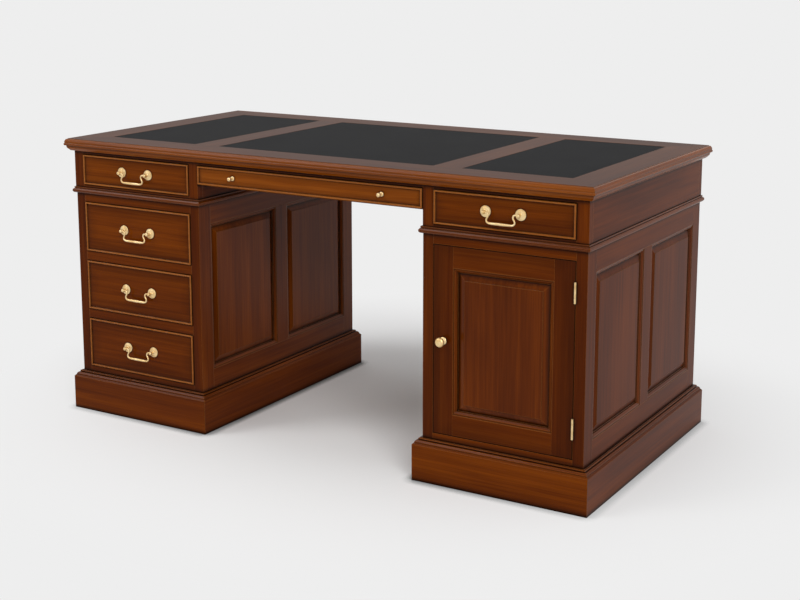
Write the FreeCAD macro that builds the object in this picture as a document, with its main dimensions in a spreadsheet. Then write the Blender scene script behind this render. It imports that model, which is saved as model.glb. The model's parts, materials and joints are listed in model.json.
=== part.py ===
import FreeCAD, Part
import os
import re
import Sketcher
from FreeCAD import Placement, Rotation, Vector

# Partners desk: two pedestals, a frieze and a framed top with leather insets.
# Millimetres. X runs along the front, the front faces -Y, Z is up, and the origin is on the floor
# under the middle of the desk. The rear half is the front half turned 180 degrees about Z.

doc = FreeCAD.newDocument("PartnersDesk")
sheet = doc.addObject("Spreadsheet::Sheet", "Sizes")

SIZES = [
    # overall
    ("desk_width", 1600, "over the tips of the top's edge"),
    ("desk_depth", 800, "over the tips of the top's edge"),
    ("desk_height", 780, "floor to the writing surface"),
    # top
    ("top_thickness", 35, "moulded border frame"),
    ("top_overhang", 21, "tip of the edge beyond the frieze"),
    ("top_border", 97, "width of the mitred border, with its moulded edge"),
    ("centre_inset", 660, "length of the middle leather"),
    ("crossband_width", 80, "boards between the leathers"),
    ("ground_thickness", 18, "boards under the leathers"),
    ("leather_thickness", 1.2, "hide with its adhesive"),
    ("leather_sink", 0.4, "leather below the border"),
    # frieze
    ("frieze_height", 101, "between the waist moulding and the top"),
    ("frieze_step", 2, "frieze proud of the pedestals"),
    ("frieze_rail", 7, "rails above and below the frieze drawers"),
    ("post_depth", 22, "front posts of the frieze"),
    ("centre_drawer_height", 50, "shallow drawer over the kneehole"),
    ("bearer_width", 12, "bearers under the centre drawers"),
    ("bearer_thickness", 8, "bearers under the centre drawers"),
    ("bearer_setback", 30, "bearer rail behind the centre drawer's face"),
    # pedestals
    ("pedestal_width", 432, "over the side frames"),
    ("side_thickness", 28.5, "side frames"),
    ("stile_width", 49, "corner stiles, seen from the side"),
    ("muntin_width", 52, "upright between the side panels"),
    ("side_rail", 55, "top and bottom rails of the side frames"),
    ("bottom_rail", 16, "front rail under the lowest drawer"),
    ("mid_rail", 25.7, "front rails between the drawers"),
    ("top_rail", 23.1, "front rail over the top drawer"),
    ("rail_depth", 40, "front rails, front to back"),
    ("partition_thickness", 12, "boards between the two users' halves"),
    ("shelf_thickness", 16, "cupboard shelf"),
    ("shelf_setback", 60, "shelf behind the carcase's face"),
    ("runner_width", 18, "drawer runners"),
    ("runner_thickness", 12, "drawer runners"),
    ("running_gap", 0.3, "between a drawer and what carries it"),
    ("stop_length", 60, "blocks that the drawers close against"),
    ("stop_height", 14, "blocks that the drawers close against"),
    ("stop_lift", 18, "blocks above the drawer's lower edge"),
    ("front_gap", 1.5, "round each drawer and door"),
    # mouldings
    ("waist_height", 17.5, "moulding round the top of a pedestal"),
    ("waist_projection", 9, "its tip beyond the pedestal"),
    ("waist_torus", 13.5, "height of its round member"),
    ("waist_fillet", 5, "projection of its upper fillet"),
    ("waist_inside", 20, "waist frame inside the pedestal's face"),
    ("plinth_height", 97, "plinth boards"),
    ("plinth_projection", 20, "plinth beyond the pedestal"),
    ("plinth_thickness", 22, "plinth boards"),
    ("plinth_bevel", 4, "sloping arris of the plinth"),
    ("block_size", 40, "glue blocks in the plinth's corners"),
    ("base_mould_height", 13, "moulding on the plinth"),
    ("base_bead", 7.5, "height of its large ovolo"),
    ("base_mould_inside", 8, "base frame inside the pedestal's face"),
    # frame and panel
    ("ovolo_width", 12, "moulding round each panel"),
    ("panel_sink", 9.5, "panel's ground behind the frame's face"),
    ("bevel_width", 17, "sloping margin of a raised panel"),
    ("field_sink", 2.5, "raised field behind the frame's face"),
    ("field_step", 1, "step between the bevel and the field"),
    ("groove_width", 8, "groove in the frames"),
    ("groove_depth", 7, "groove in the frames"),
    ("groove_play", 0.5, "panels and tongues short of the groove"),
    # drawers
    ("drawer_front", 22, "thickness of a drawer's front"),
    ("stop_room", 26, "between the pedestal drawers' backs and the partition"),
    ("lap_depth", 10, "rebates in the front's ends that take the sides"),
    ("drawer_side", 12, "thickness of sides and backs"),
    ("side_drop", 14, "sides below the top of the front"),
    ("drawer_bottom", 6, "bottom panel"),
    ("bottom_lift", 8, "bottom panel above the sides' lower edge"),
    ("bottom_groove", 5, "depth of the groove for the bottom"),
    ("bead_width", 5.5, "cock bead"),
    ("bead_depth", 9, "cock bead behind the face"),
    ("bead_proud", 3.5, "cock bead in front of the face"),
    ("bead_rise", 2, "crown of the bead's nose"),
    # door
    ("door_stile", 53, "door stiles and rails"),
    ("door_thickness", 22, "door frame"),
    ("stop_width", 12, "strip that the door closes against"),
    ("hinge_length", 50, "butt hinge"),
    ("hinge_margin", 49, "hinge to the door's end"),
    ("knuckle_radius", 2.6, "hinge knuckle"),
    ("pin_radius", 1.3, "hinge pin"),
    ("pin_clearance", 0.05, "radial, in the moving knuckle"),
    ("leaf_thickness", 0.6, "hinge leaves, both inside the gap beside the door"),
    ("leaf_width", 18, "hinge leaves"),
    ("swing_gap", 0.3, "round what turns with the door"),
    # brass
    ("handle_centres", 92, "between a handle's posts"),
    ("handle_lift", 2, "posts above the middle of the drawer"),
    ("pivot_stand", 14, "bail's axis in front of the face"),
    ("rose_radius", 14, "round plate behind a post"),
    ("rose_thickness", 4, "round plate behind a post"),
    ("post_radius", 3.2, "neck of a post"),
    ("post_head", 5, "radius of a post's head"),
    ("bail_radius", 2.1, "bail's pins and necks"),
    ("bail_play", 0.06, "between a pin and its hole"),
    ("bail_drop", 25.5, "bail's axis to the grip"),
    ("bail_grip", 3.4, "radius at the middle of the grip"),
    ("grip_length", 44, "swelling of the grip"),
    ("knob_spacing", 456, "between the centre drawer's knobs"),
    ("knob_radius", 5.5, "centre drawer's ball knobs"),
    ("knob_stand", 14, "ball's centre in front of the face"),
    ("door_knob_radius", 12, "head of the door knob"),
    ("door_knob_stand", 25, "front of the door knob"),
    ("catch_length", 40, "magnetic catch"),
    ("catch_thickness", 12, "magnetic catch"),
    ("strike_thickness", 1.5, "strike plate on the door"),
]

for row, (alias, number, note) in enumerate(SIZES, start=1):
    sheet.set(f"A{row}", alias)
    sheet.set(f"B{row}", str(number))
    sheet.set(f"C{row}", note)
    sheet.setAlias(f"B{row}", alias)
doc.recompute()

ALIASES = {alias for alias, _, _ in SIZES}

# Places worked out from the sizes, as expressions that the objects below are bound to.
TOP_UNDER = "(desk_height - top_thickness)"
FRIEZE_UNDER = f"({TOP_UNDER} - frieze_height)"
CARCASE_TOP = f"({FRIEZE_UNDER} - waist_height)"
CARCASE_BASE = "(plinth_height + base_mould_height)"
FRIEZE_X = "(desk_width / 2 - top_overhang)"
FRIEZE_Y = "(desk_depth / 2 - top_overhang)"
PEDESTAL_X = f"({FRIEZE_X} - frieze_step)"
PEDESTAL_Y = f"({FRIEZE_Y} - frieze_step)"
KNEE_X = f"({PEDESTAL_X} - pedestal_width)"
PEDESTAL_MID = f"({PEDESTAL_X} - pedestal_width / 2)"
BAY_X = "(pedestal_width / 2 - side_thickness)"
FRONT_WIDTH = f"(2 * {BAY_X} - 2 * front_gap)"
CARCASE_HEIGHT = f"({CARCASE_TOP} - {CARCASE_BASE})"
DRAWER_HEIGHT = f"(({CARCASE_HEIGHT} - bottom_rail - top_rail - 2 * mid_rail) / 3 - 2 * front_gap)"
DRAWER_PITCH = f"({DRAWER_HEIGHT} + mid_rail + 2 * front_gap)"
FIRST_FRONT = f"({CARCASE_BASE} + bottom_rail + front_gap)"
DOOR_HEIGHT = f"({CARCASE_HEIGHT} - bottom_rail - top_rail - 2 * front_gap)"
FRIEZE_DRAWER_Z = f"({FRIEZE_UNDER} + frieze_rail + front_gap)"
FRIEZE_DRAWER_HEIGHT = "(frieze_height - 2 * frieze_rail - 2 * front_gap)"
CENTRE_DRAWER_Z = f"({TOP_UNDER} - frieze_rail - front_gap - centre_drawer_height)"
CENTRE_DRAWER_WIDTH = f"(2 * {KNEE_X} - 2 * front_gap)"
HALF_PARTITION = "(partition_thickness / 2)"
DRAWER_DEPTH = f"({PEDESTAL_Y} - {HALF_PARTITION} - stop_room)"
BORDER_X = "(desk_width / 2 - top_border)"
BORDER_Y = "(desk_depth / 2 - top_border)"


def bound(text):
    """An expression with each alias pointing at the sheet."""
    return re.sub(r"[a-z_]+[a-z0-9_]*", lambda m: f"Sizes.{m[0]}" if m[0] in ALIASES else m[0], text)


def number(text):
    """The present value of an expression."""
    result = sheet.evalExpression(bound(text))
    return float(getattr(result, "Value", result))


def bind(thing, prop, text):
    thing.setExpression(prop, bound(text))


def move_to(thing, x="0", y="0", z="0", turn=0, stand=False):
    """Places a thing: stood up from the XY plane to face -Y if asked, then turned about Z."""
    rotation = Rotation(Vector(0, 0, 1), turn)
    if stand:
        rotation = rotation * Rotation(Vector(1, 0, 0), 90)
    thing.Placement = Placement(Vector(number(x), number(y), number(z)), rotation)
    for axis, text in zip("xyz", (x, y, z)):
        bind(thing, f"Placement.Base.{axis}", text)
    return thing


def box(name, x, y, z):
    """A board between two places along each axis."""
    board = doc.addObject("Part::Box", name)
    for prop, (low, high) in zip(("Length", "Width", "Height"), (x, y, z)):
        bind(board, prop, f"({high}) - ({low})")
    return move_to(board, x[0], y[0], z[0])


def gather(name, *things, **place):
    """Separate solids kept together, at a place of their own."""
    group = doc.addObject("Part::Compound", name)
    group.Links = list(things)
    return move_to(group, **place)


def cut(name, base, *tools):
    result = doc.addObject("Part::Cut", name)
    result.Base = base
    result.Tool = tools[0] if len(tools) == 1 else gather(f"{name}_tools", *tools)
    return result


def fuse(name, *parts):
    result = doc.addObject("Part::MultiFuse", name)
    result.Shapes = list(parts)
    result.Refine = True
    return result


def turned(name, thing):
    """The same thing in the other half of the desk."""
    return gather(name, thing, turn=180)


def both_halves(name, *things):
    half = gather(f"{name}_half", *things)
    return gather(name, half, turned(f"{name}_other", half))


NODES = []


def node(label, *things, **place):
    """A sub-part that is written to its own file."""
    group = gather(label, *things, **place)
    group.Label = label
    NODES.append(group)
    return group


# ---------------------------------------------------------------- mouldings and mitres


def plane_of(body, role):
    return next(item for item in body.Origin.OriginFeatures if item.Role == role)


def outline_sketch(body, role, outline):
    """A closed outline on one of the body's planes. Each corner is (across, up), and a corner
    reached by an arc is (across, up, rise): the arc's crown lies that far right of its chord, so
    it swells an outline that runs anticlockwise."""
    sketch = body.newObject("Sketcher::SketchObject", "Outline")
    sketch.AttachmentSupport = [(plane_of(body, role), "")]
    sketch.MapMode = "FlatFace"
    corners = [Vector(number(corner[0]), number(corner[1]), 0) for corner in outline]
    ends = []
    for index, corner in enumerate(outline):
        start, end = corners[index - 1], corners[index]
        if len(corner) == 2:
            edge = sketch.addGeometry(Part.LineSegment(start, end))
            first, last = 1, 2
        else:
            right = Vector(end.y - start.y, start.x - end.x, 0).normalize()
            crown = (start + end) / 2 + right * number(corner[2])
            edge = sketch.addGeometry(Part.Arc(start, crown, end))
            runs_on = sketch.getPoint(edge, 1).distanceToPoint(start) < 1e-6
            first, last = (1, 2) if runs_on else (2, 1)
        ends.append((edge, first, last))
    for index, (edge, first, last) in enumerate(ends):
        before, _, before_last = ends[index - 1]
        sketch.addConstraint(Sketcher.Constraint("Coincident", before, before_last, edge, first))
        for kind, text in zip(("DistanceX", "DistanceY"), outline[index]):
            fixed = sketch.addConstraint(Sketcher.Constraint(kind, -1, 1, edge, last, number(text)))
            bind(sketch, f"Constraints[{fixed}]", text)
        if len(outline[index]) == 3:
            (x0, y0), (x1, y1) = outline[index - 1][:2], outline[index][:2]
            rise = f"({outline[index][2]})"
            chord = f"((({x1}) - ({x0}))^2 + (({y1}) - ({y0}))^2)"
            radius = f"{chord} / (8 * {rise}) + {rise} / 2"
            fixed = sketch.addConstraint(Sketcher.Constraint("Radius", edge, number(radius)))
            bind(sketch, f"Constraints[{fixed}]", radius)
    return sketch


def mitred_length(name, outline, length, out, inside):
    """One length of moulding along X, mitred at 45 degrees at both ends. The outline is (depth,
    height): depth 0 is the face it runs along, where it is `length` long, negative is outwards."""
    body = doc.addObject("PartDesign::Body", name)
    section = outline_sketch(body, "YZ_Plane", outline)
    blank = body.newObject("PartDesign::Pad", "Blank")
    blank.Profile = section
    blank.SideType = "Symmetric"
    bind(blank, "Length", f"{length} + 2 * ({out})")
    doc.recompute()
    whole = body.Shape.Volume
    for sign in ("", "-"):
        tip = f"{sign}({length} / 2 + {out} + 1)"
        heel = f"{sign}({length} / 2 - {inside} - 1)"
        corners = [(tip, f"-({out} + 1)"), (tip, f"{inside} + 1"), (heel, f"{inside} + 1")]
        mitre = body.newObject("PartDesign::Pocket", "Mitre")
        mitre.Profile = outline_sketch(body, "XY_Plane", corners)
        mitre.Type = "ThroughAll"
        mitre.SideType = "Symmetric"
    doc.recompute()
    if not body.Shape.Volume < whole:
        raise SystemExit(f"{name}: the mitres cut nothing")
    return body


def ring(name, outline, size_x, size_y, out, inside):
    """Four mitred lengths round a rectangle that is size_x by size_y at depth 0."""
    along = mitred_length(f"{name}_long", outline, size_x, out, inside)
    across = mitred_length(f"{name}_short", outline, size_y, out, inside)
    front = gather(f"{name}_front", along, y=f"-({size_y}) / 2")
    side = gather(f"{name}_side", across, x=f"({size_x}) / 2", turn=90)
    return both_halves(f"{name}_ring", front, side)


def facets(start, end, rise_x, rise_y):
    """A quarter round from start to end in three flats, which swells by the two rises."""
    (x0, y0), (x1, y1) = start, end
    return [
        (f"{x0} * 0.75 + {x1} * 0.25 + {rise_x}", f"{y0} * 0.75 + {y1} * 0.25 + {rise_y}"),
        (f"{x0} * 0.25 + {x1} * 0.75 + {rise_x}", f"{y0} * 0.25 + {y1} * 0.75 + {rise_y}"),
        end,
    ]


def ovolo_outline():
    """Quarter-round moulding round a panel: depth is inwards from the frame, height from the ground."""
    fillet = "(panel_sink / 8)"
    foot = (f"(ovolo_width - {fillet})", fillet)
    crown = (fillet, f"(panel_sink - {fillet})")
    return [
        ("0", "0"),
        ("ovolo_width", "0"),
        ("ovolo_width", fillet),
        foot,
        *facets(foot, crown, "ovolo_width * 0.11", "ovolo_width * 0.13"),
        (fillet, "panel_sink"),
        ("0", "panel_sink"),
    ]


def panel_in_ovolo(name, opening_x, opening_z):
    """A raised and fielded panel in its groove, and the mitred ovolo in front of it. The frame's
    face is at Y 0 and faces -Y, and the opening is centred on the origin."""
    tongue = "(groove_depth - groove_play)"

    def slab(part, margin, near, far):
        half_x = f"({opening_x} / 2 + ({margin}))"
        half_z = f"({opening_z} / 2 + ({margin}))"
        return box(f"{name}_{part}", (f"-{half_x}", half_x), (near, far), (f"-{half_z}", half_z))

    ground = "(panel_sink + groove_play / 2)"
    board = slab("board", tongue, ground, f"{ground} + groove_width - groove_play")
    field = slab("field", "-ovolo_width - bevel_width", "field_sink", ground)
    bevel = doc.addObject("Part::Wedge", f"{name}_bevel")
    for axis, opening in (("X", opening_x), ("Z", opening_z)):
        foot = f"({opening} / 2 - ovolo_width - groove_play)"
        head = f"({opening} / 2 - ovolo_width - bevel_width)"
        bind(bevel, f"{axis}min", f"-{head}")
        bind(bevel, f"{axis}max", head)
        bind(bevel, f"{axis}2min", f"-{foot}")
        bind(bevel, f"{axis}2max", foot)
    bind(bevel, "Ymin", "field_sink + field_step")
    bind(bevel, "Ymax", ground)
    panel = fuse(f"{name}_panel", board, bevel, field)
    frame = ring(f"{name}_ovolo", ovolo_outline(), opening_x, opening_z, "0", "ovolo_width")
    moulding = gather(f"{name}_moulding", frame, y="panel_sink", stand=True)
    return panel, moulding


def grooved(name, x, z, thickness, grooves, tenons=False):
    """A frame member with its face at Y 0: a board with a groove along each named edge, and with a
    tongue on each end that fits the same groove."""
    near = "panel_sink"
    far = "(panel_sink + groove_width)"
    member = box(name, x, ("0", thickness), z)
    if tenons:
        reach = "(groove_depth - groove_play)"
        tongue_x, tongue_z = x, z
        if tenons == "x":
            tongue_x = (f"{x[0]} - {reach}", f"{x[1]} + {reach}")
        else:
            tongue_z = (f"{z[0]} - {reach}", f"{z[1]} + {reach}")
        half_play = "groove_play / 2"
        tongue_y = (f"{near} + {half_play}", f"{far} - {half_play}")
        tongue = box(f"{name}_tongue", tongue_x, tongue_y, tongue_z)
        member = fuse(f"{name}_tenoned", member, tongue)
    deep = {
        "left": ((x[0], f"{x[0]} + groove_depth"), z),
        "right": ((f"{x[1]} - groove_depth", x[1]), z),
        "low": (x, (z[0], f"{z[0]} + groove_depth")),
        "high": (x, (f"{z[1]} - groove_depth", z[1])),
    }
    tools = []
    for edge in grooves:
        groove_x, groove_z = deep[edge]
        if tenons == "x":
            groove_x = tongue_x
        if tenons == "z":
            groove_z = tongue_z
        tools.append(box(f"{name}_{edge}_groove", groove_x, (near, far), groove_z))
    return cut(f"{name}_grooved", member, *tools)


# ---------------------------------------------------------------- top


def top_edge_outline():
    """The border's section, from its inner edge round by the moulded edge: a sunk fillet, a bold
    ovolo, a round nose and, under a quirk, a lower ovolo. Depth 0 is the frieze's face, height 0
    its top."""
    inner = "(top_border - top_overhang)"
    arris = "-top_overhang * 0.6"
    sunk = "top_thickness * 0.965"
    shoulder = "-top_overhang * 0.92"
    nose_foot = "top_thickness * 0.45"
    bold_top = ("-top_overhang * 0.65", sunk)
    bold_foot = (shoulder, "top_thickness * 0.64")
    lower_top = ("-top_overhang * 0.76", "top_thickness * 0.41")
    lower_foot = ("-top_overhang * 0.1", "0")
    return [
        (inner, "0"),
        (inner, "top_thickness"),
        (arris, "top_thickness"),
        (arris, sunk),
        bold_top,
        *facets(bold_top, bold_foot, "(-top_overhang) * 0.075", "top_thickness * 0.05"),
        (shoulder, nose_foot, "top_overhang - top_overhang * 0.92"),
        (lower_top[0], nose_foot),
        lower_top,
        *facets(lower_top, lower_foot, "(-top_overhang) * 0.1", "(-top_thickness) * 0.065"),
    ]


border = ring("border", top_edge_outline(), f"(2 * {FRIEZE_X})", f"(2 * {FRIEZE_Y})",
              "top_overhang", "(top_border - top_overhang)")
node("top_border", border, z=TOP_UNDER)

INSET_X = "(centre_inset / 2)"
BAND_X = f"({INSET_X} + crossband_width)"
full_y = (f"-{BORDER_Y}", BORDER_Y)
band = box("crossband", (INSET_X, BAND_X), full_y, (TOP_UNDER, "desk_height"))
node("top_crossbands", both_halves("crossbands", band))

LEATHER_Z = "(desk_height - leather_sink - leather_thickness)"


def over_each_inset(name, z):
    middle = box(f"{name}_centre", (f"-{INSET_X}", INSET_X), full_y, z)
    end = box(f"{name}_end", (BAND_X, BORDER_X), full_y, z)
    return [middle, both_halves(f"{name}_ends", end)]


node("top_ground_boards", *over_each_inset("ground", (f"{LEATHER_Z} - ground_thickness", LEATHER_Z)))
node("top_leathers", *over_each_inset("leather", (LEATHER_Z, "desk_height - leather_sink")))

# ---------------------------------------------------------------- frieze

frieze_z = (FRIEZE_UNDER, TOP_UNDER)
BAY_IN = f"({KNEE_X} + side_thickness)"
BAY_OUT = f"({PEDESTAL_X} - side_thickness)"
INNER_Y = f"({FRIEZE_Y} - post_depth)"

front_posts = []
for side, sign in (("left", "-"), ("right", "")):
    spans = {"corner": (BAY_OUT, FRIEZE_X), "knee": (KNEE_X, BAY_IN)}
    for spot, (near, far) in spans.items():
        low, high = (near, far) if sign == "" else (f"-{far}", f"-{near}")
        post_y = (f"-{FRIEZE_Y}", f"-{INNER_Y}")
        front_posts.append(box(f"post_{side}_{spot}", (low, high), post_y, frieze_z))
node("frieze_posts", both_halves("posts", *front_posts))

side_boards = [
    box("frieze_outer_board", (BAY_OUT, FRIEZE_X), (f"-{INNER_Y}", INNER_Y), frieze_z),
    box("frieze_knee_board", (KNEE_X, BAY_IN), (f"-{INNER_Y}", INNER_Y), frieze_z),
]
node("frieze_side_boards", both_halves("frieze_boards", *side_boards))

rail_y = (f"-{FRIEZE_Y}", f"-({FRIEZE_Y} - rail_depth)")
high_z = (f"{TOP_UNDER} - frieze_rail", TOP_UNDER)
low_z = (FRIEZE_UNDER, f"{FRIEZE_UNDER} + frieze_rail")
BEARER_Z = f"({CENTRE_DRAWER_Z} - running_gap)"
bearer_z = (f"{BEARER_Z} - bearer_thickness", BEARER_Z)
bearer_y = (f"-({FRIEZE_Y} - bearer_setback)", f"-({FRIEZE_Y} - bearer_setback - rail_depth)")
frieze_rails = [
    box("rail_high_left", (f"-{BAY_OUT}", f"-{BAY_IN}"), rail_y, high_z),
    box("rail_low_left", (f"-{BAY_OUT}", f"-{BAY_IN}"), rail_y, low_z),
    box("rail_high_right", (BAY_IN, BAY_OUT), rail_y, high_z),
    box("rail_low_right", (BAY_IN, BAY_OUT), rail_y, low_z),
    box("rail_high_centre", (f"-{KNEE_X}", KNEE_X), rail_y, high_z),
    box("bearer_rail", (f"-{KNEE_X}", KNEE_X), bearer_y, bearer_z),
]
node("frieze_rails", both_halves("frieze_rail_set", *frieze_rails))

middle_y = (f"-{HALF_PARTITION}", HALF_PARTITION)
node(
    "frieze_partitions",
    box("frieze_partition_left", (f"-{BAY_OUT}", f"-{BAY_IN}"), middle_y, frieze_z),
    box("frieze_partition_right", (BAY_IN, BAY_OUT), middle_y, frieze_z),
    box("frieze_partition_centre", (f"-{KNEE_X}", KNEE_X), middle_y, (bearer_z[0], TOP_UNDER)),
)

# ---------------------------------------------------------------- pedestals
# One pedestal is drawn about its own middle: drawers at the front, cupboard at the rear. The left
# one is moved to its place, and the right one is the left one turned.


def on_both_pedestals(label, *things):
    return node(label, both_halves(f"{label}_pair", gather(f"{label}_left", *things, x=f"-{PEDESTAL_MID}")))


# Side frame, drawn facing -Y and turned onto each side.
OPENING_X = f"({PEDESTAL_Y} - stile_width - muntin_width / 2)"
OPENING_Z = f"({CARCASE_HEIGHT} - 2 * side_rail)"
rail_span = (f"-({PEDESTAL_Y} - stile_width)", f"({PEDESTAL_Y} - stile_width)")
carcase_z = (CARCASE_BASE, CARCASE_TOP)
frame_low = (CARCASE_BASE, f"{CARCASE_BASE} + side_rail")
frame_high = (f"{CARCASE_TOP} - side_rail", CARCASE_TOP)
between = (frame_low[1], frame_high[0])

stile = grooved("side_stile", (rail_span[1], PEDESTAL_Y), carcase_z, "side_thickness", ["left"])
other_stile = grooved("side_stile_rear", (f"-{PEDESTAL_Y}", rail_span[0]), carcase_z, "side_thickness",
                      ["right"])
muntin = grooved("muntin", ("-muntin_width / 2", "muntin_width / 2"), between, "side_thickness",
                 ["left", "right"], tenons="z")
low_rail = grooved("side_low_rail", rail_span, frame_low, "side_thickness", ["high"], tenons="x")
high_rail = grooved("side_high_rail", rail_span, frame_high, "side_thickness", ["low"], tenons="x")
panel, moulding = panel_in_ovolo("side", OPENING_X, OPENING_Z)
panel_place = {"x": f"(muntin_width + {OPENING_X}) / 2", "z": f"({CARCASE_BASE} + {CARCASE_TOP}) / 2"}
far_place = {"x": f"-(muntin_width + {OPENING_X}) / 2", "z": panel_place["z"]}


def on_both_sides(name, *things):
    """The same things on the outer and the kneehole side of a pedestal."""
    side = gather(f"{name}_side", *things, x="pedestal_width / 2", turn=90)
    return both_halves(f"{name}_sides", side)


on_both_pedestals("pedestal_stiles", on_both_sides("stiles", stile, other_stile, muntin))
on_both_pedestals("pedestal_side_rails", on_both_sides("side_rails", low_rail, high_rail))
on_both_pedestals(
    "pedestal_side_panels",
    on_both_sides("panels", gather("panel_near", panel, **panel_place),
                  gather("panel_far", panel, **far_place)),
)
on_both_pedestals(
    "panel_mouldings",
    on_both_sides("mouldings", gather("moulding_near", moulding, **panel_place),
                  gather("moulding_far", moulding, **far_place)),
)

# Front rails: four round the drawers in front, two round the door at the rear.
bay = (f"-{BAY_X}", BAY_X)
face_y = (f"-{PEDESTAL_Y}", f"-({PEDESTAL_Y} - rail_depth)")
rear_y = (f"({PEDESTAL_Y} - rail_depth)", PEDESTAL_Y)
bottom_z = (CARCASE_BASE, f"{CARCASE_BASE} + bottom_rail")
top_z = (f"{CARCASE_TOP} - top_rail", CARCASE_TOP)
rails = []
for end, run in (("front", face_y), ("rear", rear_y)):
    rails.append(box(f"{end}_bottom_rail", bay, run, bottom_z))
    rails.append(box(f"{end}_top_rail", bay, run, top_z))
for step in (1, 2):
    rail_top = f"({FIRST_FRONT} + {step} * {DRAWER_PITCH} - front_gap)"
    rails.append(box(f"mid_rail_{step}", bay, face_y, (f"{rail_top} - mid_rail", rail_top)))
on_both_pedestals("pedestal_front_rails", *rails)

# Boards inside: the partition, the floor, the roof and the cupboard's shelf.
rail_back = f"({PEDESTAL_Y} - rail_depth)"
SHELF_Z = f"({FIRST_FRONT} + {DOOR_HEIGHT} / 2)"
base_half_x = "(pedestal_width / 2 - base_mould_inside)"
base_half_y = f"({PEDESTAL_Y} - base_mould_inside)"
waist_half_x = "(pedestal_width / 2 - waist_inside)"
waist_half_y = f"({PEDESTAL_Y} - waist_inside)"
inner_boards = [
    box("partition", bay, middle_y, carcase_z),
    box("floor_board", (f"-{base_half_x}", base_half_x), (f"-{base_half_y}", base_half_y),
        ("plinth_height", CARCASE_BASE)),
    box("roof_board", (f"-{waist_half_x}", waist_half_x), (f"-{waist_half_y}", waist_half_y),
        (CARCASE_TOP, FRIEZE_UNDER)),
    box("shelf", bay, (HALF_PARTITION, f"{PEDESTAL_Y} - shelf_setback"),
        (f"{SHELF_Z} - shelf_thickness", SHELF_Z)),
]
stop_front = f"({PEDESTAL_Y} - door_thickness - swing_gap)"
inner_boards.append(
    box("door_stop", (f"{BAY_X} - stop_width", BAY_X), (f"{stop_front} - stop_width", stop_front),
        (f"{CARCASE_BASE} + bottom_rail", f"{CARCASE_TOP} - top_rail"))
)
on_both_pedestals("pedestal_inner_boards", *inner_boards)

# Runners: a strip under each side of each drawer, from the rail back to the partition.


def runner_pair(name, half_span, back, near, top, width="runner_width", thickness="runner_thickness"):
    run = (f"-{near}", f"-{back}")
    height = (f"{top} - running_gap - {thickness}", f"{top} - running_gap")
    return [
        box(f"{name}_left", (f"-{half_span}", f"-({half_span} - {width})"), run, height),
        box(f"{name}_right", (f"{half_span} - {width}", half_span), run, height),
    ]


def drawer_stop(name, face, low):
    """A block on the partition that a drawer's back closes against."""
    run = (f"-({face} - {DRAWER_DEPTH} - running_gap)", f"-{HALF_PARTITION}")
    return box(name, ("-stop_length / 2", "stop_length / 2"), run, (low, f"{low} + stop_height"))


runners = []
for step in range(3):
    drawer_z = f"({FIRST_FRONT} + {step} * {DRAWER_PITCH})"
    runners += runner_pair(f"runner_{step}", BAY_X, HALF_PARTITION, rail_back, drawer_z)
    runners.append(drawer_stop(f"stop_{step}", PEDESTAL_Y, f"({drawer_z} + stop_lift)"))
pedestal_runners = gather("pedestal_runners", *runners, x=f"-{PEDESTAL_MID}")
low_thickness = f"({FRIEZE_DRAWER_Z} - {FRIEZE_UNDER} - running_gap)"
frieze_runners = runner_pair("frieze_runner", BAY_X, HALF_PARTITION, f"({FRIEZE_Y} - rail_depth)",
                             FRIEZE_DRAWER_Z, thickness=low_thickness)
centre_runners = runner_pair("centre_bearer", KNEE_X, HALF_PARTITION,
                             f"({FRIEZE_Y} - bearer_setback - rail_depth)", CENTRE_DRAWER_Z,
                             "bearer_width", "bearer_thickness")
frieze_runners.append(drawer_stop("frieze_stop", FRIEZE_Y, f"({FRIEZE_DRAWER_Z} + stop_lift)"))
centre_runners.append(drawer_stop("centre_stop", FRIEZE_Y, f"({CENTRE_DRAWER_Z} + stop_lift)"))
left_runners = gather("frieze_runners_left", *frieze_runners, x=f"-{PEDESTAL_MID}")
right_runners = gather("frieze_runners_right", *frieze_runners, x=PEDESTAL_MID)
node("drawer_runners",
     both_halves("runner_set", pedestal_runners, left_runners, right_runners, *centre_runners))

# Plinth, base moulding and waist moulding, each mitred round the pedestal.
pedestal_size = ("pedestal_width", f"(2 * {PEDESTAL_Y})")
plinth_outline = [
    ("plinth_thickness - plinth_projection", "0"),
    ("plinth_thickness - plinth_projection", "plinth_height"),
    ("plinth_bevel - plinth_projection", "plinth_height"),
    ("-plinth_projection", "plinth_height - plinth_bevel"),
    ("-plinth_projection", "0"),
]
plinth = ring("plinth", plinth_outline, *pedestal_size, "plinth_projection",
              "(plinth_thickness - plinth_projection)")
block_x = "(pedestal_width / 2 + plinth_projection - plinth_thickness)"
block_y = f"({PEDESTAL_Y} + plinth_projection - plinth_thickness)"
blocks = []
for name, sign in (("left", "-"), ("right", "")):
    low, high = f"{block_x} - block_size", block_x
    span = (low, high) if sign == "" else (f"-({high})", f"-({low})")
    blocks.append(box(f"block_{name}", span, (f"-{block_y}", f"-({block_y} - block_size)"),
                      ("0", "plinth_height")))
on_both_pedestals("plinths", plinth, both_halves("glue_blocks", *blocks))

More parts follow.
